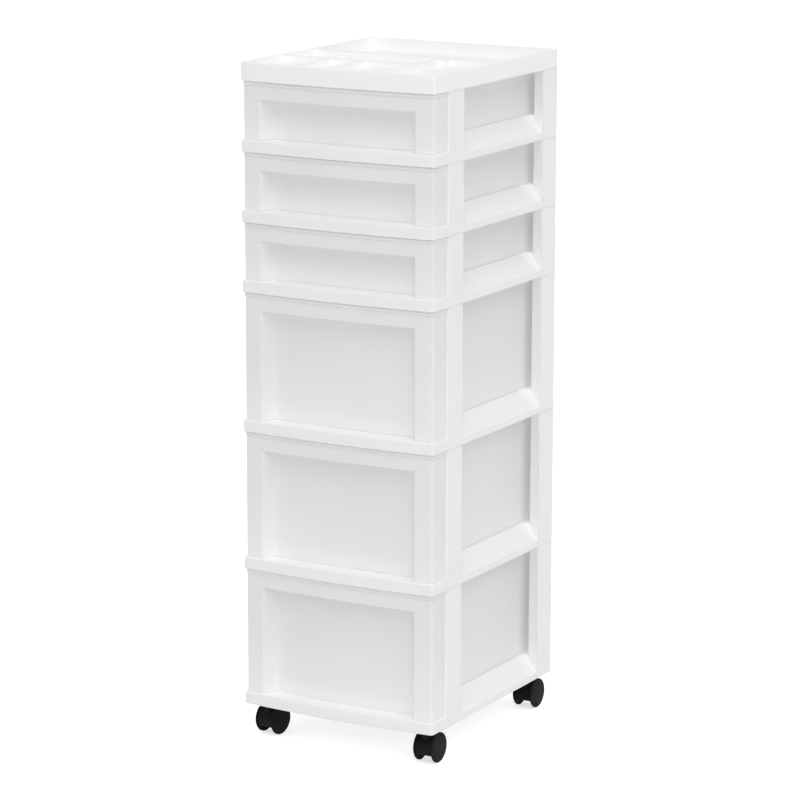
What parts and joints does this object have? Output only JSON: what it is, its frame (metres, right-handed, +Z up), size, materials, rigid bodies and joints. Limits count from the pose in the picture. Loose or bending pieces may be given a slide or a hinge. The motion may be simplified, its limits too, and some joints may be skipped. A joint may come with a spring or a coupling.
{
  "type": "plastic drawer tower",
  "caption": "Rolling white plastic tower of stacked open frames with shallow and deep pull-out drawers, a divided top tray and twin-wheel casters.",
  "frame": {"origin": "on the floor, under the middle of the overall footprint", "axes": "+Z up, -Y is the front that the drawers open towards, +X to the right seen from the front"},
  "size_m": [0.306, 0.365, 0.964],
  "materials": {
    "white_plastic": "opaque white moulded polypropylene, satin",
    "frosted_plastic": "frosted translucent polypropylene, satin",
    "hood_plastic": "black moulded nylon",
    "wheel_plastic": "black moulded nylon, smooth",
    "steel": "zinc plated"
  },
  "bodies": {
    "tower": {"organizer_top": "white_plastic", "frame_1": "white_plastic", "frame_2": "white_plastic", "frame_3": "white_plastic", "frame_4": "white_plastic", "frame_5": "white_plastic", "frame_6": "white_plastic", "caster_fl_stem": "steel", "caster_fr_stem": "steel", "caster_bl_stem": "steel", "caster_br_stem": "steel"},
    "drawer_1_body": {"drawer_1": "frosted_plastic"},
    "drawer_2_body": {"drawer_2": "frosted_plastic"},
    "drawer_3_body": {"drawer_3": "frosted_plastic"},
    "drawer_4_body": {"drawer_4": "frosted_plastic"},
    "drawer_5_body": {"drawer_5": "frosted_plastic"},
    "drawer_6_body": {"drawer_6": "frosted_plastic"},
    "caster_fl": {"caster_fl_hood": "hood_plastic", "caster_fl_axle": "steel"},
    "caster_fl_wheel_l": {"caster_fl_wheel_l": "wheel_plastic"},
    "caster_fl_wheel_r": {"caster_fl_wheel_r": "wheel_plastic"},
    "caster_fr": {"caster_fr_hood": "hood_plastic", "caster_fr_axle": "steel"},
    "caster_fr_wheel_l": {"caster_fr_wheel_l": "wheel_plastic"},
    "caster_fr_wheel_r": {"caster_fr_wheel_r": "wheel_plastic"},
    "caster_bl": {"caster_bl_hood": "hood_plastic", "caster_bl_axle": "steel"},
    "caster_bl_wheel_l": {"caster_bl_wheel_l": "wheel_plastic"},
    "caster_bl_wheel_r": {"caster_bl_wheel_r": "wheel_plastic"},
    "caster_br": {"caster_br_hood": "hood_plastic", "caster_br_axle": "steel"},
    "caster_br_wheel_l": {"caster_br_wheel_l": "wheel_plastic"},
    "caster_br_wheel_r": {"caster_br_wheel_r": "wheel_plastic"}
  },
  "joints": [
    {"name": "drawer_1_slide", "type": "slide", "parent": "tower", "child": "drawer_1_body", "axis": [0, -1, 0], "range_m": [0, 0.24]},
    {"name": "drawer_2_slide", "type": "slide", "parent": "tower", "child": "drawer_2_body", "axis": [0, -1, 0], "range_m": [0, 0.24]},
    {"name": "drawer_3_slide", "type": "slide", "parent": "tower", "child": "drawer_3_body", "axis": [0, -1, 0], "range_m": [0, 0.24]},
    {"name": "drawer_4_slide", "type": "slide", "parent": "tower", "child": "drawer_4_body", "axis": [0, -1, 0], "range_m": [0, 0.24]},
    {"name": "drawer_5_slide", "type": "slide", "parent": "tower", "child": "drawer_5_body", "axis": [0, -1, 0], "range_m": [0, 0.24]},
    {"name": "drawer_6_slide", "type": "slide", "parent": "tower", "child": "drawer_6_body", "axis": [0, -1, 0], "range_m": [0, 0.24]},
    {"name": "caster_fl_swivel", "type": "hinge", "parent": "tower", "child": "caster_fl", "pos_m": [-0.129, -0.146, 0.048], "axis": [0, 0, 1], "continuous": true},
    {"name": "caster_fl_wheel_l_spin", "type": "hinge", "parent": "caster_fl", "child": "caster_fl_wheel_l", "pos_m": [-0.12815, -0.13905, 0.0215], "axis": [0.9925, -0.1219, 0], "continuous": true},
    {"name": "caster_fl_wheel_r_spin", "type": "hinge", "parent": "caster_fl", "child": "caster_fl_wheel_r", "pos_m": [-0.12815, -0.13905, 0.0215], "axis": [0.9925, -0.1219, 0], "continuous": true},
    {"name": "caster_fr_swivel", "type": "hinge", "parent": "tower", "child": "caster_fr", "pos_m": [0.129, -0.146, 0.048], "axis": [0, 0, 1], "continuous": true},
    {"name": "caster_fr_wheel_l_spin", "type": "hinge", "parent": "caster_fr", "child": "caster_fr_wheel_l", "pos_m": [0.129, -0.139, 0.0215], "axis": [1, 0, 0], "continuous": true},
    {"name": "caster_fr_wheel_r_spin", "type": "hinge", "parent": "caster_fr", "child": "caster_fr_wheel_r", "pos_m": [0.129, -0.139, 0.0215], "axis": [1, 0, 0], "continuous": true},
    {"name": "caster_bl_swivel", "type": "hinge", "parent": "tower", "child": "caster_bl", "pos_m": [-0.129, 0.1495, 0.048], "axis": [0, 0, 1], "continuous": true},
    {"name": "caster_bl_wheel_l_spin", "type": "hinge", "parent": "caster_bl", "child": "caster_bl_wheel_l", "pos_m": [-0.129, 0.1565, 0.0215], "axis": [1, 0, 0], "continuous": true},
    {"name": "caster_bl_wheel_r_spin", "type": "hinge", "parent": "caster_bl", "child": "caster_bl_wheel_r", "pos_m": [-0.129, 0.1565, 0.0215], "axis": [1, 0, 0], "continuous": true},
    {"name": "caster_br_swivel", "type": "hinge", "parent": "tower", "child": "caster_br", "pos_m": [0.129, 0.1495, 0.048], "axis": [0, 0, 1], "continuous": true},
    {"name": "caster_br_wheel_l_spin", "type": "hinge", "parent": "caster_br", "child": "caster_br_wheel_l", "pos_m": [0.129, 0.1565, 0.0215], "axis": [1, 0, 0], "continuous": true},
    {"name": "caster_br_wheel_r_spin", "type": "hinge", "parent": "caster_br", "child": "caster_br_wheel_r", "pos_m": [0.129, 0.1565, 0.0215], "axis": [1, 0, 0], "continuous": true}
  ]
}
